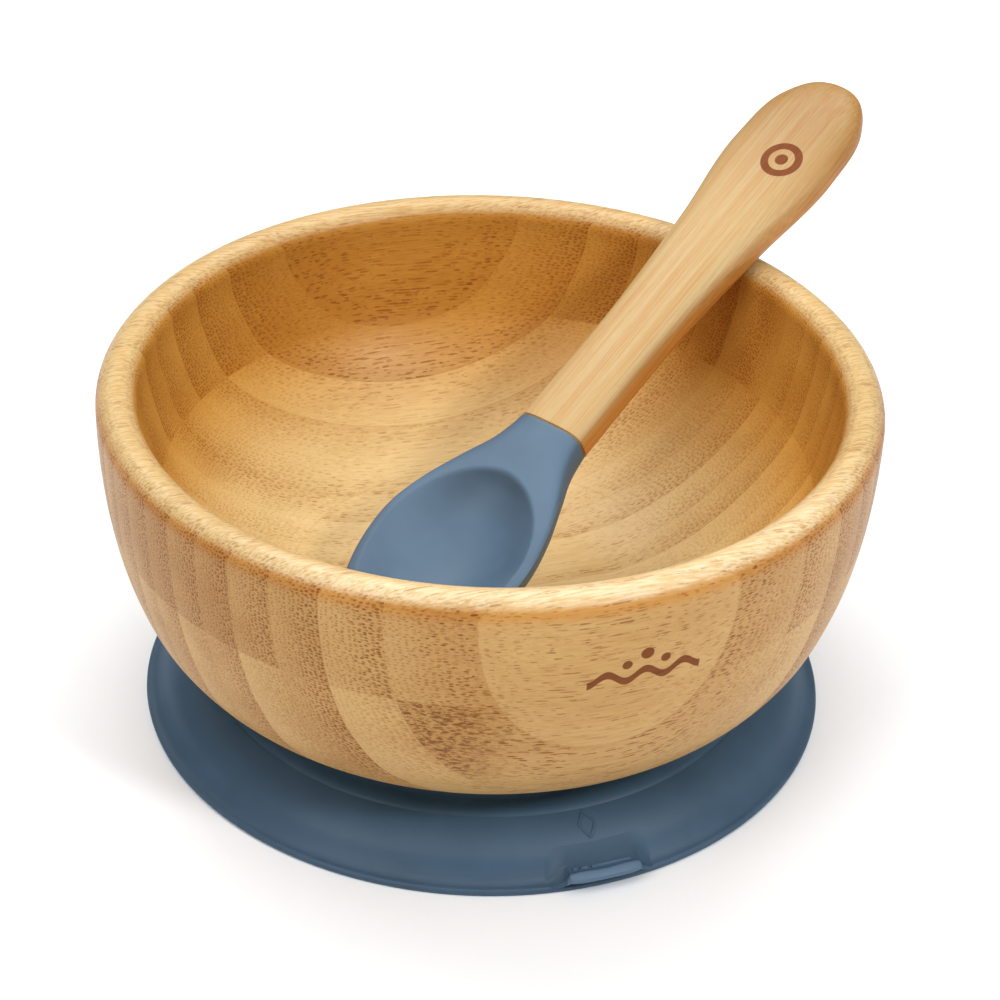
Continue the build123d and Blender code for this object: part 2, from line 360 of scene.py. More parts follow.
def bamboo_colour(nodes, vector, normal_along, tone, share, seed, contrast):
    """Colour, bundle mask and fine streaks of bamboo whose fibres run along the vector's X.

    The tone is how dark the strip is, the share is 1 at its dense side, and the seed sets it apart
    from the others.
    """
    along, across, up = nodes.split(vector)
    drift = nodes.noise(nodes.combine(nodes.times(along, 0.03), seed, 0.0), 1.0, 2.0)
    sway = nodes.times(nodes.minus(drift, 0.5), FIBRE_SWAY)
    apart = nodes.times(seed, 7.3)
    section = nodes.combine(nodes.plus(across, sway), nodes.plus(nodes.plus(up, sway), apart), 0.0)
    flat = {"voronoi_dimensions": "2D"}
    cells = nodes.node("ShaderNodeTexVoronoi", flat, Vector=section, Scale=1 / BUNDLE_SPACING)
    cells.inputs["Randomness"].default_value = BUNDLE_SCATTER
    size = nodes.ease(share, 0.0, 1.0, *BUNDLE_RADII)
    wide = nodes.plus(size, BUNDLE_EDGE)
    narrow = nodes.minus(size, BUNDLE_EDGE)
    bundle = nodes.ease(cells.outputs["Distance"], wide, narrow)
    # Bundles differ in strength, and are fainter at the strip's loose side.
    cell_shade, _, _ = nodes.split(cells.outputs["Color"])
    bundle = nodes.times(bundle, nodes.ease(cell_shade, 0.0, 1.0, 0.5, 1.0))
    bundle = nodes.times(bundle, nodes.ease(share, 0.0, 1.0, 0.6, 1.0))
    # Cut along the fibres, a bundle shows as broken dashes.
    lengths = nodes.combine(nodes.times(along, 0.45), across, up)
    lengths = nodes.noise(lengths, 1.5, 1.0)
    end_grain = nodes.times(normal_along, normal_along)
    dotted = nodes.ease(end_grain, *END_GRAIN)
    broken = nodes.math("MAXIMUM", nodes.ease(lengths, 0.44, 0.56), dotted)
    bundle = nodes.times(bundle, broken)

    stretched = nodes.combine(nodes.times(along, 0.07), across, nodes.plus(up, seed))
    streaks = nodes.noise(stretched, 2.8, 5.0, 0.65)
    broad = nodes.noise(nodes.combine(nodes.times(along, 0.3), across, up), 0.11, 3.0)

    # How dark the ground is: the strip's tone, its dense side, streaks, broad patches and end grain.
    depth = nodes.plus(tone, nodes.times(nodes.minus(share, 0.5), 0.28))
    depth = nodes.plus(depth, nodes.ease(streaks, 0.3, 0.7, -0.2, 0.2))
    depth = nodes.plus(depth, nodes.ease(broad, 0.3, 0.7, -0.16, 0.16))
    depth = nodes.plus(depth, nodes.times(end_grain, 0.30))
    depth = nodes.math("MAXIMUM", nodes.math("MINIMUM", depth, 1.2), -0.15)
    ground = nodes.mix(depth, BAMBOO_LIGHT, BAMBOO_DARK)
    strength = nodes.times(bundle, contrast)
    strength = nodes.times(strength, nodes.ease(tone, 0.0, 0.5, 0.55, 1.0))
    colour = nodes.mix(strength, ground, nodes.mix(1.0, ground, FIBRE_TINT, "MULTIPLY"))
    return colour, bundle, streaks


def finish_bamboo(nodes, colour, bundle, streaks, mark, polish=0.0):
    """Roughness, bump and the burnt mark, which reads darker, rougher and a little sunk."""
    charred = nodes.mix(streaks, BURNT, CHARRED)
    charred = nodes.mix(nodes.times(bundle, 0.4), charred, CHARRED_BUNDLE)
    colour = nodes.mix(nodes.times(mark, 0.92), colour, charred)
    rough = nodes.ease(streaks, 0.2, 0.8, 0.34, 0.44)
    rough = nodes.plus(rough, nodes.times(bundle, 0.10))
    rough = nodes.plus(rough, nodes.times(mark, 0.3))
    rough = nodes.minus(rough, polish)
    relief = nodes.times(streaks, 0.3)
    for sunk, depth in ((bundle, 0.5), (mark, 2.0)):
        relief = nodes.minus(relief, nodes.times(sunk, depth))
    bump = nodes.node("ShaderNodeBump", None, Height=relief, Strength=0.5, Distance=BAMBOO_RELIEF)
    nodes.feed(nodes.shader.inputs["Base Color"], colour)
    nodes.feed(nodes.shader.inputs["Roughness"], rough)
    nodes.feed(nodes.shader.inputs["Normal"], bump.outputs[0])
    nodes.shader.inputs["Specular IOR Level"].default_value = BAMBOO_SPECULAR
    return nodes.material


def dot_product(nodes, vector, direction):
    """How far the vector points along the direction."""
    made = nodes.node("ShaderNodeVectorMath", {"operation": "DOT_PRODUCT"})
    nodes.feed(made.inputs[0], vector)
    nodes.feed(made.inputs[1], direction)
    return made.outputs["Value"]


FACING_FORWARDS = 13.0  # this many strips from the front have their dense side forwards
TURNED_SHARE = 0.35  # of the others, about this share has it backwards
BOARD_SEED = 29.0  # more than the strips of a board, so that no two strips are alike
WEATHERED_STRIPS = 2.0  # counted from the front
WEATHERED_ALONG = (-12.0, -24.0)  # where the weathered place begins and is full, along the strip
GLUE_SHARES = (0.485, 0.497)  # how far from a strip's middle its glue line begins and is full
GLUE_HEIGHTS = (0.09, 0.03)  # how far from the joint between two boards, likewise

HOLLOW_WALL = (61.0, 60.0)  # radii where the hollow begins and is full, below the lip
HOLLOW_FLOOR = (45.5, 42.5)  # the same for the radius less the flare, which leaves out the outside
HOLLOW_FLARE = 0.32  # how fast that radius grows with height
# Heights where the hollow's floor tint gives way to its wall tint, both mostly painted light and shade.
HOLLOW_TINT_HEIGHTS = (21.0, 43.0)
PAINTED_WALL_SHADE = (1.04, 0.88, 0.47)  # mostly painted shade and bounced orange light: what is left of the colour on the hollow's wall, darker and deeper amber
FLOOR_PALE_AND_LIT = (1.13, 1.36, 1.70)  # and on its floor: paler, partly its own colour and partly painted light from above with its glossy reflection
EDGE_HEIGHTS, EDGE_RADII = (56.5, 58.8), (61.9, 62.9)  # the turned edge below the lip, outside
# A deeper orange band on the turned edge below the lip, outside.
TURNED_EDGE_TINT = (0.96, 0.70, 0.34)

LIP_HEIGHTS = (58.9, 60.4)
# The lip's pale colour is partly its end grain's own and partly a painted highlight from the light
# above.
LIP_GRAIN_AND_HIGHLIGHT = (0.73, 0.57, 0.33)
LIP_STREAK = (0.59, 0.38, 0.155)
LIP_FRONT = (-32.0, -54.0)  # across the strips, where the lip's front begins and is full
# Painted light on the lip: paler and whiter in front, and painted shade round the sides and the back.
LIP_FRONT_HIGHLIGHT = (1.04, 1.12, 1.28)
LIP_SIDE_AND_BACK_SHADE = (0.86, 0.86, 0.80)
POLISHED_HEIGHTS, POLISH = (58.5, 60.5), 0.08  # and how much less rough the lip is

MARK_BEARING = 22.7  # degrees round from the front
MARK_HEIGHT = 45.6
MARK_WALL_RADIUS = 62.9
MARK_INNERMOST = 58.0  # a smaller radius is inside the bowl, where there is no mark


def glue_lines(nodes, share, up):
    """1 on the glue lines between strips and between boards."""
    off_middle = nodes.math("ABSOLUTE", nodes.minus(share, 0.5))
    glue = nodes.ease(off_middle, *GLUE_SHARES)
    for height in BOARD_TOPS:
        off_joint = nodes.math("ABSOLUTE", nodes.minus(up, height))
        glue = nodes.math("MAXIMUM", glue, nodes.ease(off_joint, *GLUE_HEIGHTS))
    return glue


def weathered_mask(nodes, along, count, in_wall, in_rim):
    """1 in the weathered place at one end of the wall's outermost strips."""
    outermost = nodes.math("LESS_THAN", count, WEATHERED_STRIPS)
    at_end = nodes.times(outermost, nodes.ease(along, *WEATHERED_ALONG))
    return nodes.times(at_end, nodes.minus(in_wall, in_rim))


def torn_mask(nodes, vector, weathered):
    """How torn the grain is: ragged lengthwise tears in the weathered place."""
    along, across, up = nodes.split(vector)
    torn = nodes.combine(nodes.times(along, 0.14), across, nodes.times(up, 1.3))
    torn = nodes.ease(nodes.noise(torn, 1.9, 3.0, 0.6), 0.49, 0.58)
    return nodes.times(nodes.times(torn, weathered), 0.85)


def hollow_mask(nodes, radius, up):
    """1 inside the bowl."""
    within_wall = nodes.ease(radius, *HOLLOW_WALL)
    flare = nodes.minus(radius, nodes.times(up, HOLLOW_FLARE))
    return nodes.times(within_wall, nodes.ease(flare, *HOLLOW_FLOOR))


def tinted(nodes, mask, colour, tint):
    """The colour multiplied by a tint where the mask is 1."""
    return nodes.mix(mask, colour, nodes.mix(1.0, colour, tint, "MULTIPLY"))


def lip_grain_and_light(nodes, colour, bundle, streaks, across, lip):
    """The lip's streaked grain, paler partly of its own and partly as painted highlight, with more
    painted highlight in front and painted shade round the sides and the back.
    """
    highlit_lip_grain = nodes.mix(nodes.ease(streaks, 0.40, 0.64), LIP_GRAIN_AND_HIGHLIGHT, LIP_STREAK)
    highlit_lip_grain = tinted(nodes, nodes.times(bundle, 0.45), highlit_lip_grain, FIBRE_TINT)
    colour = nodes.mix(nodes.times(lip, 0.7), colour, highlit_lip_grain)
    # Painted highlight in front and painted shade round the sides and the back.
    tint = nodes.mix(nodes.ease(across, *LIP_FRONT), LIP_SIDE_AND_BACK_SHADE, LIP_FRONT_HIGHLIGHT)
    return tinted(nodes, lip, colour, tint)


def bowl_bamboo():
    """Three boards of edge-glued strips, turned to the bowl's shape, with a burnt ornament."""
    nodes = Nodes("turned bamboo boards")
    turn = (0, 0, math.radians(STRIP_BEARING))
    vector, normal = nodes.place((0, 0, 0), turn)
    along, across, up = nodes.split(vector)
    normal_along = dot_product(nodes, normal, (math.cos(turn[2]), math.sin(turn[2]), 0))
    from_mark, _ = nodes.place((0, 0, 0), (0, 0, math.radians(MARK_BEARING)))
    right, back, _ = nodes.split(from_mark)
    from_axis = nodes.node("ShaderNodeVectorMath", {"operation": "LENGTH"})
    nodes.feed(from_axis.inputs[0], nodes.combine(right, back, 0.0))
    radius = from_axis.outputs["Value"]

    # Which strip and board it is, how dark, and how near to the strip's dense side.
    count = nodes.math("DIVIDE", nodes.plus(across, STRIP_FIRST_FACE), STRIP_THICKNESS)
    strip = nodes.math("FLOOR", count)
    share = nodes.math("FRACT", count)
    in_wall = nodes.math("GREATER_THAN", up, BOARD_TOPS[0])
    in_rim = nodes.math("GREATER_THAN", up, BOARD_TOPS[1])
    seed = nodes.plus(strip, nodes.times(nodes.plus(in_wall, in_rim), BOARD_SEED))
    tone = nodes.mix(in_wall, nodes.steps(count, FOOT_TONES), nodes.steps(count, WALL_TONES))
    tone, _, _ = nodes.split(nodes.mix(in_rim, tone, nodes.steps(count, RIM_TONES)))
    flip = nodes.node("ShaderNodeTexWhiteNoise", {"noise_dimensions": "1D"}, W=seed)
    forwards = nodes.math("GREATER_THAN", flip.outputs["Value"], TURNED_SHARE)
    forwards = nodes.math("MAXIMUM", forwards, nodes.math("LESS_THAN", count, FACING_FORWARDS))
    dense_side = nodes.math("ABSOLUTE", nodes.minus(forwards, share))

    weathered = weathered_mask(nodes, along, count, in_wall, in_rim)
    tone = nodes.plus(tone, nodes.times(weathered, 0.4))
    inside = hollow_mask(nodes, radius, up)
    contrast = nodes.minus(1.0, nodes.times(inside, 0.25))
    strip_looks = (tone, dense_side, seed, contrast)
    colour, bundle, streaks = bamboo_colour(nodes, vector, normal_along, *strip_looks)
    colour = nodes.mix(torn_mask(nodes, vector, weathered), colour, TORN_FIBRE)
    glue = nodes.times(glue_lines(nodes, share, up), 0.3)
    colour = nodes.mix(glue, colour, BAMBOO_DARK)

    # Painted shade and bounced orange light deepen the hollow's wall, its floor is paler partly from
    # painted light, and the turned edge below the polished lip is deeper in colour too.
    hollow_light_and_shade = nodes.mix(nodes.ease(up, *HOLLOW_TINT_HEIGHTS), FLOOR_PALE_AND_LIT, PAINTED_WALL_SHADE)
    colour = tinted(nodes, inside, colour, hollow_light_and_shade)
    edge = nodes.times(nodes.ease(up, *EDGE_HEIGHTS), nodes.ease(radius, *EDGE_RADII))
    colour = tinted(nodes, nodes.times(edge, 0.65), colour, TURNED_EDGE_TINT)
    colour = lip_grain_and_light(nodes, colour, bundle, streaks, across, nodes.ease(up, *LIP_HEIGHTS))

    # The ornament's own place: arc length round the wall, and height.
    angle = nodes.math("ARCTAN2", right, nodes.times(back, -1.0))
    round_wall = nodes.times(angle, MARK_WALL_RADIUS)
    mark = wave_mark(nodes, round_wall, nodes.minus(up, MARK_HEIGHT))
    mark = nodes.times(mark, nodes.math("GREATER_THAN", radius, MARK_INNERMOST))
    polish = nodes.ease(up, *POLISHED_HEIGHTS, 0.0, POLISH)
    return finish_bamboo(nodes, colour, bundle, streaks, mark, polish)


HANDLE_LIGHT = (0.49, 0.355, 0.170)
HANDLE_DARK = (0.42, 0.180, 0.032)
# Painted shade: the handle's sides face away from the lights and down to the bowl, so they are painted
# darker and deeper orange, with the bowl's bounced light.
HANDLE_SIDE_SHADE = (0.60, 0.240, 0.034)
HANDLE_SIDE_SHADE_STREAK = tuple(c * 0.72 for c in HANDLE_SIDE_SHADE)
HANDLE_SHADE_DEPTHS = (-0.9, -4.0)  # below the top face, where the sides' painted shade begins and is full
HANDLE_END = (48.0, 80.0)  # along the handle, where its darker end begins and is full
HANDLE_END_TINT = (0.76, 0.72, 0.66)
RING_PLACE = (-2.4, 64.2)  # across and along the handle
RING_LOWEST = -3.0  # there is no ring on the handle's back


def handle_bamboo():
    """One light stave along the spoon's handle, with a small burnt ornament near its end."""
    nodes = Nodes("spoon handle bamboo")
    vector, _ = nodes.place(SPOON_FRAME.to_translation(), SPOON_FRAME.to_euler())
    along, across, up = nodes.split(vector)
    flatter = nodes.times(up, 0.6)
    lengthwise = nodes.combine(nodes.times(along, 0.012), across, flatter)
    fibres = nodes.noise(lengthwise, 3.2, 4.0, 0.6)
    bands = nodes.noise(lengthwise, 0.45, 2.0)
    flecks = nodes.combine(nodes.times(along, 0.16), across, up)
    flecks = nodes.noise(flecks, 2.4, 3.0, 0.6)

    # Fine fibres, broad bands and flecks darken it, and so does its end.
    depth = nodes.ease(fibres, 0.3, 0.7, 0.0, 0.42)
    depth = nodes.plus(depth, nodes.ease(bands, 0.3, 0.7, -0.12, 0.2))
    depth = nodes.plus(depth, nodes.ease(flecks, 0.4, 0.8, 0.0, 0.16))
    depth = nodes.plus(depth, nodes.ease(along, 45.0, 82.0, 0.0, 0.2))
    colour = nodes.mix(depth, HANDLE_LIGHT, HANDLE_DARK)
    # Painted shade and bounced orange light on the handle's sides, below its top face.
    shaded_side = nodes.mix(nodes.ease(fibres, 0.3, 0.7), HANDLE_SIDE_SHADE, HANDLE_SIDE_SHADE_STREAK)
    colour = nodes.mix(nodes.ease(up, *HANDLE_SHADE_DEPTHS, 0.0, 0.85), colour, shaded_side)
    colour = tinted(nodes, nodes.ease(along, *HANDLE_END), colour, HANDLE_END_TINT)

    ring_across = nodes.minus(across, RING_PLACE[0])
    mark = ring_mark(nodes, ring_across, nodes.minus(along, RING_PLACE[1]))
    mark = nodes.times(mark, nodes.math("GREATER_THAN", up, RING_LOWEST))
    return finish_bamboo(nodes, colour, nodes.ease(flecks, 0.5, 0.8, 0.0, 0.5), fibres, mark)


# ------------------------------------------------------------------ silicone

SILICONE_SPECULAR = 0.36
SILICONE_RELIEF = 0.00004  # metres
TAB_FRONT_HIGHLIGHT = (57.9, 58.3)  # distances from the frame's origin, where the painted highlight on the tab's front face begins and is full


def silicone(name, colour, roughness, dust):
    """Matte moulded silicone: faint mottling, a little pale dust, a painted highlight at the tab's
    front face, and a fine grain in the bump.
    """
    nodes = Nodes(name)
    vector, _ = nodes.place((0, 0, 0), (0, 0, 0))
    cloud = nodes.noise(vector, 0.055, 3.0)
    grain = nodes.noise(vector, 4.5, 2.0, 0.7)
    specks = nodes.node("ShaderNodeTexVoronoi", None, Vector=vector, Scale=0.9)
    speck = nodes.ease(specks.outputs["Distance"], 0.10, 0.04)
    lighter = tuple(min(1.0, c * 1.12 + 0.004) for c in colour)
    darker = tuple(c * 0.90 for c in colour)
    base = nodes.mix(nodes.ease(cloud, 0.3, 0.7), darker, lighter)
    base = nodes.mix(nodes.times(speck, dust), base, tuple(c * 1.8 + 0.02 for c in colour))
    # Painted highlight: paler beyond 57.9 mm from the origin, which on the base is the tab's front
    # face, where it catches the light.
    from_origin = nodes.node("ShaderNodeVectorMath", {"operation": "LENGTH"})
    nodes.feed(from_origin.inputs[0], vector)
    thin = nodes.ease(from_origin.outputs["Value"], *TAB_FRONT_HIGHLIGHT)
    base = nodes.mix(thin, base, tuple(c * 1.45 + 0.03 for c in colour))
    rough = nodes.ease(cloud, 0.25, 0.75, roughness - 0.04, roughness + 0.04)
    rough = nodes.plus(rough, nodes.ease(grain, 0.3, 0.7, -0.03, 0.03))
    bump = nodes.node("ShaderNodeBump", None, Height=grain, Strength=0.25, Distance=SILICONE_RELIEF)
    nodes.feed(nodes.shader.inputs["Base Color"], base)
    nodes.feed(nodes.shader.inputs["Roughness"], rough)
    nodes.feed(nodes.shader.inputs["Normal"], bump.outputs[0])
    nodes.shader.inputs["Specular IOR Level"].default_value = SILICONE_SPECULAR
    return nodes.material


# ------------------------------------------------------------------ the bowl

# Outlines here and below are of (radius, height).
SHOULDER = (44.5, 12.3)
FOOT_RADIUS, FOOT_BOTTOM, FOOT_ROUND = 38.0, 8.6, 0.8
LIP_ROUND = 3.35
RIM_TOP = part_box("rim_board_even_strips")[1][2] / MM
RIM_RADIUS = 63.6
LIP_MIDDLE = (RIM_RADIUS - LIP_ROUND, RIM_TOP - LIP_ROUND)
OUTSIDE = [SHOULDER, (51.9, 16.4), (56.4, 21.8), (60.0, 30.4), (62.3, 40.5), (63.4, 50.9)]
INSIDE = [(55.6, 49.0), (53.5, 41.5), (49.0, 34.7), (43.0, 28.4), (33.0, 21.7), (20.0, 18.5)]


def bowl_boards(material):
    """The rim, wall and foot boards, each one closed piece of the turned shape."""
    outside = smooth_curve([*OUTSIDE, (RIM_RADIUS, LIP_MIDDLE[1])], (1, 0.28), (0, 1))
    inside = smooth_curve([(LIP_MIDDLE[0] - LIP_ROUND, LIP_MIDDLE[1]), *INSIDE], (0, -1), (-1, 0))
    lip = arc(LIP_MIDDLE, LIP_ROUND, 0, 180, 28)[1:-1]
    low, high = BOARD_TOPS
    foot = [
        (0, FOOT_BOTTOM),
        *arc((FOOT_RADIUS - FOOT_ROUND, FOOT_BOTTOM + FOOT_ROUND), FOOT_ROUND, -90, 0, 6),
        (FOOT_RADIUS, SHOULDER[1]),
        *heights_between(outside, SHOULDER[1], low),
        *heights_between(inside, INSIDE[-1][1], low),
        (0, INSIDE[-1][1]),
    ]
    wall = [*heights_between(outside, low, high), *heights_between(inside, low, high)]
    rim = [
        *heights_between(outside, high, LIP_MIDDLE[1]),
        *lip,
        *heights_between(inside, high, LIP_MIDDLE[1]),
    ]
    for name, outline in (("rim_board", rim), ("wall_board", wall), ("foot_board", foot)):
        piece = add_mesh(name, *lathe_faces([tuple(p) for p in outline]), material)
        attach(piece, "bowl")
        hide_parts(f"{name}_odd_strips", f"{name}_even_strips")


# ------------------------------------------------------------------ the suction base

COLLAR_RADIUS, COLLAR_INNER, COLLAR_TOP = 42.6, 38.1, 11.8
COLLAR_ROUNDS = (0.6, 0.5)  # outside and inside of its top
FLANGE_RADIUS, FLANGE_BOTTOM, FLANGE_ROUND = 47.2, 6.0, 0.3
# How far in from the flange's edge, and how high.
FLANGE_TOP = [(0.0, 7.75), (0.25, 8.02), (0.8, 8.28), (1.5, 8.47), (2.3, 8.58)]
COLLAR_FILLET = [(44.0, 8.72), (43.3, 9.05), (42.85, 9.6), (COLLAR_RADIUS, 10.6)]
MEMBRANE = (6.4, 8.3)  # heights of its two faces
RIB_MIDDLE, RIB_HALF, RIB_ROUND = 26.0, 1.0, 0.8  # the round rib below it

SKIRT_RADIUS = 57.4
SKIRT_INNER = (47.3, 8.0)
SKIRT_TOP = [(53.2, 4.75), (54.9, 2.6), (55.7, 1.75), (56.5, 1.3)]
SKIRT_UNDER = [(53.8, 0), (51.6, 3.2), (SKIRT_INNER[0], 5.6)]
SEAL_ROUND, SEAL_HEIGHT = 0.65, 1.0


def collar(material):
    """The stiff ring with the membrane, in which the bowl's foot stands."""
    under, top = MEMBRANE
    outer, inner = COLLAR_ROUNDS
    outline = [
        (0, under),
        (RIB_MIDDLE - RIB_HALF, under),
        *arc((RIB_MIDDLE, under), RIB_ROUND, 180, 360, 8),
        (RIB_MIDDLE + RIB_HALF, under),
        (COLLAR_RADIUS, FLANGE_BOTTOM),
        *arc((FLANGE_RADIUS - FLANGE_ROUND, FLANGE_BOTTOM + FLANGE_ROUND), FLANGE_ROUND, -90, 0, 5),
        *((FLANGE_RADIUS - inwards, height) for inwards, height in FLANGE_TOP),
        *COLLAR_FILLET,
        *arc((COLLAR_RADIUS - outer, COLLAR_TOP - outer), outer, 0, 90, 6),
        *arc((COLLAR_INNER + inner, COLLAR_TOP - inner), inner, 90, 180, 6),
        (COLLAR_INNER, top),
        (0, top),
    ]
    piece = add_mesh("collar", *lathe_faces(outline), material)
    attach(piece, "collar")
    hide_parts("base_collar")


def skirt_top_curve():
    """The skirt's upper outline, from the flange down to its lip."""
    return smooth_curve([SKIRT_INNER, *SKIRT_TOP], (1, -0.28), (1, -0.25), 0.3)


def skirt_height(radius):
    """How high the skirt's top is at a radius."""
    curve = skirt_top_curve()
    return float(np.interp(radius, curve[:, 0], curve[:, 1]))


def skirt(material):
    """The soft skirt with its thin sealing lip, its swelling behind the tab and the mould mark."""
    outline = [
        *smooth_curve(SKIRT_UNDER, (-0.45, 1), (-1, 0.25))[::-1],
        *arc((SKIRT_RADIUS - SEAL_ROUND, SEAL_ROUND), SEAL_ROUND, -90, 80, 9),
        *skirt_top_curve()[::-1],
    ]
    turned = lathe_faces([tuple(p) for p in outline])
    piece = add_mesh("skirt", *joined(turned, mould_mark(), swelling()), material)
    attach(piece, "skirt")
    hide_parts("suction_skirt")
    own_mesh(piece)


def polar(radius, aside, height):
    """A point on the base: radius from the axis, distance round from the tab's middle, height."""
    bearing = math.radians(TAB_BEARING) + aside / SKIRT_RADIUS
    return (radius * math.sin(bearing), -radius * math.cos(bearing), height)


def mould_mark(middle=50.0, aside=-0.4, reach=1.9, wire=0.27, around=8):
    """A fine raised diamond on the skirt, above the tab."""
    corners = ((1.1 * reach, 0.0), (0.0, 0.85 * reach), (-1.1 * reach, 0.0), (0.0, -0.85 * reach))
    path = []
    for number, corner in enumerate(corners):
        after = corners[(number + 1) % len(corners)]
        for share in np.linspace(0.08, 0.92, 7):
            path.append([a + (b - a) * share for a, b in zip(corner, after)])
    path = np.array(path)
    loops = []
    for place, point in enumerate(path):
        ahead = path[(place + 1) % len(path)] - path[place - 1]
        sideways = np.array([ahead[1], -ahead[0]]) / np.linalg.norm(ahead)
        loop = []
        for bend in np.linspace(0, 2 * math.pi, around, endpoint=False):
            out, round_by = point + sideways * wire * math.cos(bend)
            lift = skirt_height(middle + point[0]) + wire * math.sin(bend)
            loop.append(polar(middle + out, aside + round_by, lift))
        loops.append(loop)
    return loft_faces([*loops, loops[0]], False, False)


# Here "aside" is a distance round from the tab's middle, and the other places are radii.
TAB_BEARING = 20.7  # degrees round from the front
SWELL_START, SWELL_LEVEL, SWELL_WALL = 52.3, 55.6, 55.85
SWELL_FOOT = (54.2, 2.0)  # radius and height, inside the skirt
SWELL_END = 9.6  # aside
SWELL_SINK = 0.3  # how deep the swelling's edges are sunk into the skirt
PLATE_START = 57.3
TAB_ROOT = 54.9  # hidden inside the swelling
TAB_TOP = 4.10
TAB_UNDER = 56.4  # where the tab's underside turns down to its root
NOSE_SLOPE, EDGE_SHARE = 0.42, 0.2  # as shares of the thickness
EDGE_LARGEST = 0.25
TONGUE_HALF, WEB_START = 5.2, 5.9  # aside
BEND = (54.8, 56.5)  # where the tongue begins to bend and is fully lifted
# Across the tab: aside, where it ends, how high its top is, how thick it is.
TAB_STATIONS = [
    (0.0, 58.9, TAB_TOP, 1.50),
    (TONGUE_HALF, 58.8, TAB_TOP, 1.50),
    (5.8, 58.6, 3.95, 1.45),
    (6.1, 58.3, 3.50, 1.40),
    (6.6, 57.7, 2.60, 1.20),
    (7.4, 57.45, 1.85, 0.90),
    (8.6, 57.3, 1.25, 0.60),
    (9.8, 57.1, 0.85, 0.40),
]
GROOVE = (57.5, 57.8, 0.25)  # where it begins and ends on the tab, and its depth
RIDGE = (57.1, 0.36, 0.5)  # middle, half width and height of the grip ridge
RIDGE_SUNK = 0.15
RIDGE_SPANS = ((-5.3, -4.3), (-4.05, -2.5), (-2.25, 4.7))  # aside
RIDGE_ENDS = ((0.0, 0.3), (0.12, 0.8), (0.35, 1.0))  # distance from a bar's end, and size there


def tab_stations():
    """The stations from one side of the tab to the other: aside, end, top and thickness."""
    right = smooth_curve(TAB_STATIONS, (1, 0, 0, 0), (1, -0.05, -0.2, -0.1), 0.25)
    return np.array([*(right[:0:-1] * np.array([-1, 1, 1, 1])), *right])


def top_behind_tab(radius, aside, top):
    """Height of the skirt's swelling that runs smoothly out to the tab's top."""
    share = min(1.0, max(0.0, (SWELL_END - abs(aside)) / (SWELL_END - TONGUE_HALF)))
    share *= share * (3 - 2 * share)
    reach = PLATE_START - SWELL_START
    t = (radius - SWELL_START) / reach
    ramp = (2 * t**3 - 3 * t**2 + 1) * skirt_height(SWELL_START)
    ramp += (3 * t**2 - 2 * t**3) * TAB_TOP
    ramp -= (t**3 - 2 * t**2 + t) * reach * 0.6
    beside = skirt_height(radius) - 0.02
    height = beside + max(0.0, ramp - beside) * share
    outward = max(0.0, (radius - SWELL_LEVEL) / (PLATE_START - SWELL_LEVEL))
    return height + (top - height) * outward


def swelling():
    """The skirt's own rise behind the tab, as one closed shape sunk into the skirt."""
    loops = []
    for aside, _, top, _ in tab_stations():
        cut = [(SWELL_START, skirt_height(SWELL_START) - SWELL_SINK)]
        for radius in np.linspace(SWELL_START + 0.2, SWELL_WALL - 0.12, 12):
            cut.append((radius, top_behind_tab(radius, aside, top)))
        wall_top = top_behind_tab(SWELL_WALL, aside, top)
        wall_foot = min(skirt_height(SWELL_WALL), wall_top) - SWELL_SINK
        cut += [(SWELL_WALL, wall_top - 0.12), (SWELL_WALL, wall_foot), SWELL_FOOT]
        loops.append([polar(radius, aside, height) for radius, height in cut])
    return loft_faces(loops)


def tab_profile(aside, end, top, thick):
    """One closed cut through the tab: out of the swelling, along the top, round the nose and back."""
    upper = [(TAB_ROOT, top_behind_tab(TAB_ROOT, aside, top) - 0.5)]
    for radius in np.linspace(SWELL_WALL - 0.35, 57.2, 7):
        sunk = 0.04 if radius < SWELL_WALL - 0.1 else 0.0
        upper.append((radius, top_behind_tab(radius, aside, top) - sunk))
    start, finish, depth = GROOVE
    sunk = min(depth, thick * EDGE_SHARE)
    finish = min(finish, end - 0.3)
    start = min(start, finish - 0.25)
    upper += [(start, top), (start + 0.08, top - sunk), (finish - 0.08, top - sunk), (finish, top)]
    edge = min(EDGE_LARGEST, thick * EDGE_SHARE)
    slope = thick * NOSE_SLOPE
    nose = [
        (finish + 0.1, top - 0.02),
        (end - 0.35 * (end - finish), top - 0.5 * slope),
        (end - 0.02, top - slope),
        *arc((end - edge, top - thick + edge), edge, 0, -90, 6),
    ]
    return [*upper, *nose, (TAB_UNDER, top - thick), (TAB_ROOT, top - thick - 0.2)]


def grip_ridge():
    """The broken bar along the tab's top."""
    middle, half, height = RIDGE
    base, rise = TAB_TOP - RIDGE_SUNK, height + RIDGE_SUNK
    cut = arc((0, 0), 1.0, 200, -20, 9)
    bars = []
    for first, last in RIDGE_SPANS:
        places = [(first + inwards, size) for inwards, size in RIDGE_ENDS]
        places += [(last - inwards, size) for inwards, size in RIDGE_ENDS[::-1]]
        loops = []
        for aside, size in places:
            loop = [polar(middle + half * size * x, aside, base + rise * size * z) for x, z in cut]
            loops.append(loop)
        bars.append(loft_faces(loops))
    return joined(*bars)


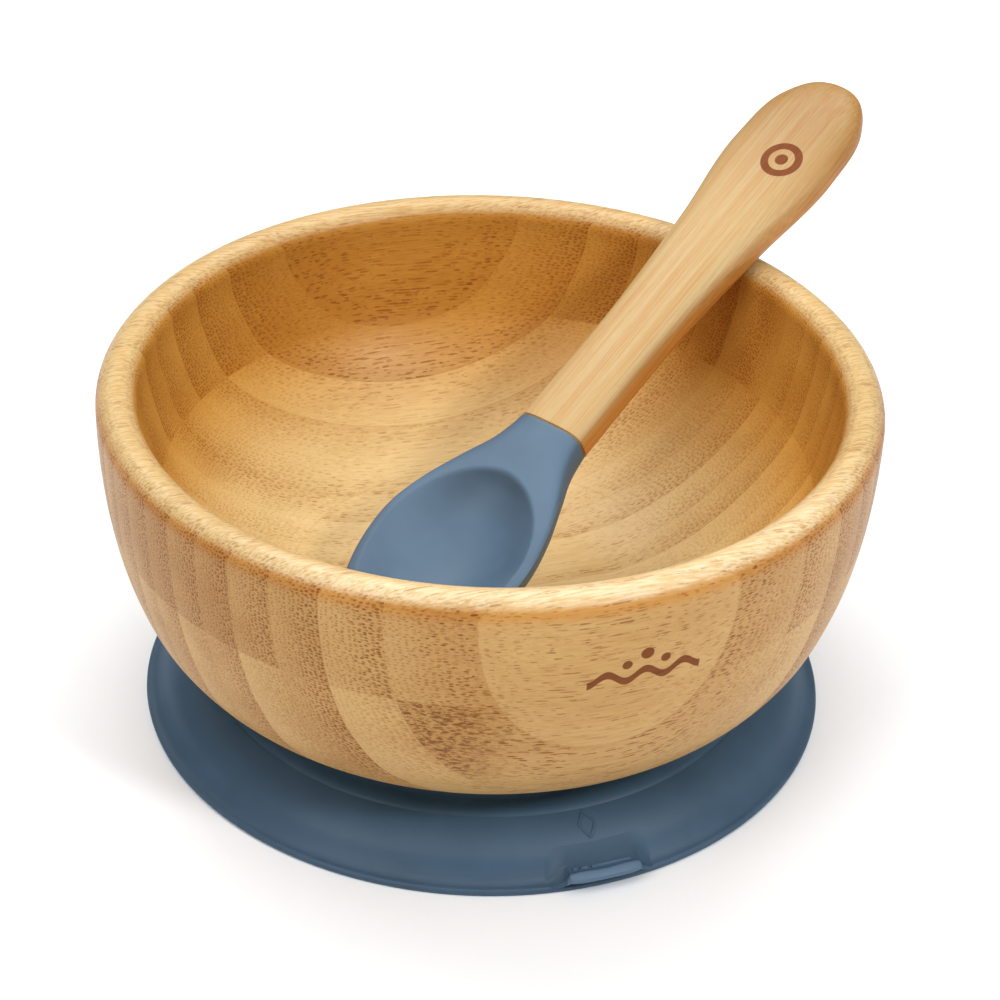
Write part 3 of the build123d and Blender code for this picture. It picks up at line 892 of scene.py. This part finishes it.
def release_tab(material):
    """The tongue that is lifted to let air in, with its broken ridge and its webs to the lip."""
    stations = tab_stations()
    loops = []
    for aside, end, top, thick in stations:
        loops.append([polar(r, aside, z) for r, z in tab_profile(aside, end, top, thick)])
    across = [number for number, station in enumerate(stations) if abs(station[0]) <= WEB_START]
    first, last = across[0], across[-1]
    for name, begin, finish, side in (
        ("tab", first, last, 0),
        ("tab_web_left", 0, first, -1),
        ("tab_web_right", last, len(loops) - 1, 1),
    ):
        shape = loft_faces(loops[begin : finish + 1])
        if side:
            # A web runs sideways, from the skirt's lip to the tongue's corner.
            start = Vector(polar(SKIRT_RADIUS, side * SWELL_END, SEAL_HEIGHT)) * MM
            end = Vector(polar(SKIRT_RADIUS, side * WEB_START, TAB_TOP)) * MM
        else:
            shape = joined(shape, grip_ridge())
            start, end = (Vector(polar(radius, 0, TAB_TOP)) * MM for radius in BEND)
        piece = add_mesh(name, *shape, material, sharp_above=40.0)
        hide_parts("release_tab")
        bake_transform(piece)


# ------------------------------------------------------------------ the spoon

SPOON_JOINT = (9.6, 7.9, 47.2)
SPOON_TILT, SPOON_BEARING = 26.0, 49.8
# Up the handle from the joint, or down the head: distance, half width, height of the middle, rise
# above it, belly below it, and squareness.
HANDLE_SECTIONS = [
    (0.0, 6.4, -3.2, 3.2, 4.8, 3.2),
    (28.0, 6.5, -3.4, 3.4, 4.6, 3.1),
    (48.0, 8.1, -3.7, 3.7, 4.3, 3.0),
    (67.0, 10.2, -3.9, 3.9, 4.1, 3.0),
    (78.0, 8.7, -4.0, 3.7, 3.8, 2.8),
    (83.0, 5.3, -4.0, 2.5, 2.6, 2.4),
    (84.8, 0.0, -4.0, 0.0, 0.0, 2.0),
]
HEAD_SECTIONS = [
    (0.0, 6.4, -3.2, 3.2, 4.8, 3.2),
    (5.0, 7.5, -2.8, 2.8, 5.4, 3.0),
    (11.0, 10.4, -1.9, 1.9, 7.1, 2.4),
    (18.0, 13.3, -1.3, 1.3, 8.6, 2.2),
    (25.0, 15.0, -1.0, 1.0, 9.2, 2.1),
    (32.0, 14.8, -1.0, 1.0, 8.6, 2.1),
    (39.5, 12.8, -1.0, 1.0, 7.0, 2.0),
    (46.5, 9.0, -1.0, 1.0, 5.1, 2.0),
    (50.4, 4.5, -1.0, 0.7, 3.0, 2.0),
    (51.6, 0.0, -1.0, 0.0, 0.0, 2.0),
]
# Down the head: distance, half width and depth of the dish.
DISH_SECTIONS = [
    (11.2, 0.6, 0.0),
    (14.0, 7.2, 2.9),
    (19.0, 11.6, 5.4),
    (25.0, 13.6, 6.4),
    (31.5, 13.4, 6.2),
    (38.3, 11.4, 4.8),
    (45.0, 7.4, 2.4),
    (49.0, 0.6, 0.0),
]
PARTING_RIDGE = 0.12
HEAD_FACETS = 144
HANDLE_CHAMFER = ((0.0, 0.45), (0.22, 0.3), (0.34, 0.0))  # distance from the joint, how much smaller
NECK_CHAMFER = ((0.03, 0.975), (0.15, 1.0))  # the same, with the size as a share
NECK_MIDDLE = -4.0


def spoon_matrix():
    """The spoon's own axes: X up the handle, Z out of its top face."""
    tilt, bearing = math.radians(SPOON_TILT), math.radians(SPOON_BEARING)
    level, rise = math.cos(tilt), math.sin(tilt)
    up_handle = Vector((level * math.cos(bearing), level * math.sin(bearing), rise))
    out = Vector((-rise * math.cos(bearing), -rise * math.sin(bearing), level))
    across = out.cross(up_handle)
    turned = Matrix((up_handle, across, out)).transposed().to_4x4()
    return Matrix.Translation(Vector(SPOON_JOINT) * MM) @ turned


SPOON_FRAME = spoon_matrix()


def to_spoon(points):
    """Millimetre points on the spoon's own axes, in the model's frame."""
    return [tuple(SPOON_FRAME @ (Vector(p) * MM) / MM) for p in points]


def oval(section, count=112):
    """A closed section across the spoon: fuller than an ellipse where the squareness is above 2."""
    distance, half_width, middle, rise, belly, squareness = section
    loop = []
    for angle in np.linspace(0, 2 * math.pi, count, endpoint=False):
        side, lift = math.cos(angle), math.sin(angle)
        y = half_width * math.copysign(abs(side) ** (2 / squareness), side)
        depth = rise if lift > 0 else belly
        z = middle + depth * math.copysign(abs(lift) ** (2 / squareness), lift)
        loop.append((distance, y, z))
    return loop


def spoon_handle(material):
    """The bamboo handle: flat-topped at the joint, egg-shaped and crowned at its end."""
    sections = smooth_curve(HANDLE_SECTIONS, (1, 0, 0, 0, 0, 0), (0.0, -1, 0, -0.4, -0.4, 0), 0.8)
    loops = []
    for distance, smaller in HANDLE_CHAMFER:
        size = sections[0][1:5] - np.array([smaller, 0, smaller, smaller])
        loops.append(oval((distance, *size, sections[0][5])))
    loops += [oval(section) for section in sections[1:-1]]
    piece = add_mesh("handle", *shape_of(loops), material, sharp_above=50.0)
    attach(piece, "spoon")
    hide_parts("spoon_handle")


def shape_of(loops):
    """Vertices and faces of loops given on the spoon's own axes."""
    vertices, faces = loft_faces(loops)
    return to_spoon(vertices), faces


def spoon_head(material):
    """The silicone head: a wide neck, a full belly, a soft rim and the dish."""
    sections = smooth_curve(HEAD_SECTIONS, (1, 0.1, 0, 0, 0, 0), (0.0, -1, 0, -0.2, -0.7, 0), 0.5)
    dish = smooth_curve(DISH_SECTIONS, (0.2, 1, 0.1), (0.2, -1, -0.1), 0.5)
    loops = []
    for section in sections[:-1]:
        reach = np.interp(section[0], dish[:, 0], dish[:, 1], 0, 0)
        depth = np.interp(section[0], dish[:, 0], dish[:, 2], 0, 0)
        loop = []
        for number, (x, y, z) in enumerate(oval(section, HEAD_FACETS)):
            if z > section[2] + TINY and abs(y) < reach:
                z -= depth * (1 - (y / reach) ** 2) ** 1.2
            if number in (0, HEAD_FACETS // 2):
                y += math.copysign(PARTING_RIDGE, y)
            loop.append((-x, y, z))
        loops.append(loop)
    neck = []
    for distance, size in NECK_CHAMFER:
        lift = NECK_MIDDLE * (1 - size)
        neck.append([(-distance, y * size, lift + z * size) for _, y, z in loops[0]])
    vertices, faces = shape_of([*neck, *loops[1:]])
    faces = [face[::-1] for face in faces]
    piece = add_mesh("head", vertices, faces, material, sharp_above=50.0)
    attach(piece, "spoon")
    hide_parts("spoon_head")


# ------------------------------------------------------------------ camera, light and floor

CAMERA_PLACE = (0.0, -0.42726, 0.32230)
CAMERA_AIM = (0.0, 0.0, 0.030)
CAMERA_ROLL = 1.82
CAMERA_LENS, CAMERA_SENSOR = 111.69, 36.0
CAMERA_SHIFT = (0.0136, 0.0335)


def camera():
    """The camera at the viewing angle of the main picture."""
    data = bpy.data.cameras.new("camera")
    data.lens = CAMERA_LENS
    data.sensor_width = CAMERA_SENSOR
    data.shift_x, data.shift_y = CAMERA_SHIFT
    data.clip_start, data.clip_end = 0.01, 20.0
    made = bpy.data.objects.new("camera", data)
    bpy.context.scene.collection.objects.link(made)
    look = (Vector(CAMERA_AIM) - Vector(CAMERA_PLACE)).to_track_quat("-Z", "Y")
    roll = Euler((0, 0, math.radians(CAMERA_ROLL))).to_quaternion()
    made.rotation_mode = "QUATERNION"
    made.rotation_quaternion = look @ roll
    made.location = CAMERA_PLACE
    bpy.context.scene.camera = made


# Bearing round from the front, elevation, distance, size and power of each soft light.
SOFT_LIGHTS = {
    "overhead": (0, 77, 0.90, (0.90, 0.90), 4.1),
    "back": (180, 60, 0.95, (0.80, 0.50), 5.6),
    "front right": (48, 42, 1.0, (0.16, 0.16), 4.5),
    "front left": (-45, 40, 1.0, (0.50, 0.50), 3.4),
    "right": (95, 35, 1.0, (0.60, 0.60), 0.4),
    "back left": (-135, 50, 1.0, (0.50, 0.50), 2.2),
}
ROOM_LIGHT = 0.15  # what the white room adds to the soft lights
TABLE_REACH = 3000.0
TABLE_TONES = ((0.865, 0.885, 0.905), (0.885, 0.905, 0.925))
TABLE_FADE = (100.0, 480.0)  # where the table begins to fade into the white room, and is gone


def soft_light(name, bearing, elevation, distance, size, power):
    """A rectangular light that faces the camera's aim."""
    data = bpy.data.lights.new(name, "AREA")
    data.shape = "RECTANGLE"
    data.size, data.size_y = size
    data.energy = power
    made = bpy.data.objects.new(name, data)
    bpy.context.scene.collection.objects.link(made)
    round_by, up_by = math.radians(bearing), math.radians(elevation)
    level = math.cos(up_by)
    direction = Vector((math.sin(round_by) * level, -math.cos(round_by) * level, math.sin(up_by)))
    made.rotation_mode = "QUATERNION"
    made.rotation_quaternion = (-direction).to_track_quat("-Z", "Y")
    made.location = Vector(CAMERA_AIM) + direction * distance


def studio():
    """A white table in a white room, with soft lights above, behind and on both sides."""
    world = bpy.data.worlds.new("room")
    bpy.context.scene.world = world
    world.use_nodes = True
    background = world.node_tree.nodes["Background"]
    background.inputs["Color"].default_value = (1, 1, 1, 1)
    seen = world.node_tree.nodes.new("ShaderNodeLightPath")
    level = world.node_tree.nodes.new("ShaderNodeMapRange")
    level.inputs["To Min"].default_value = ROOM_LIGHT
    level.inputs["To Max"].default_value = 1.0
    world.node_tree.links.new(seen.outputs["Is Camera Ray"], level.inputs["Value"])
    world.node_tree.links.new(level.outputs["Result"], background.inputs["Strength"])
    for name, settings in SOFT_LIGHTS.items():
        soft_light(name, *settings)

    nodes = Nodes("white table")
    vector, _ = nodes.place((0, 0, 0), (0, 0, 0))
    cloud = nodes.noise(vector, 0.01, 3.0)
    nodes.feed(nodes.shader.inputs["Base Color"], nodes.mix(cloud, *TABLE_TONES))
    nodes.shader.inputs["Roughness"].default_value = 0.9
    distance = nodes.node("ShaderNodeVectorMath", {"operation": "LENGTH"})
    nodes.feed(distance.inputs[0], vector)
    seen = nodes.tree.nodes.new("ShaderNodeLightPath").outputs["Is Camera Ray"]
    nodes.shader.inputs["Emission Color"].default_value = (1, 1, 1, 1)
    fade = nodes.times(nodes.ease(distance.outputs["Value"], *TABLE_FADE), seen)
    nodes.feed(nodes.shader.inputs["Emission Strength"], fade)
    corners = [(x * TABLE_REACH, y * TABLE_REACH, 0) for x, y in ((-1, -1), (1, -1), (1, 1), (-1, 1))]
    add_mesh("table", corners, [[0, 1, 2, 3]], nodes.material)
    bpy.context.scene.view_settings.view_transform = "Standard"


# ------------------------------------------------------------------ the whole scene

camera()
studio()
base_silicone = silicone("base silicone", (0.037, 0.079, 0.131), roughness=0.52, dust=0.05)
bowl_boards(bowl_bamboo())
# The collar's silicone is the base's made a little brighter and bluer: painted bounce light in the cove
# below the bowl.
collar(silicone("collar silicone with painted bounce light", (0.038, 0.084, 0.138), roughness=0.50, dust=0.05))
skirt(base_silicone)
release_tab(base_silicone)
spoon_handle(handle_bamboo())
spoon_head(silicone("spoon silicone", (0.064, 0.116, 0.178), roughness=0.50, dust=0.02))
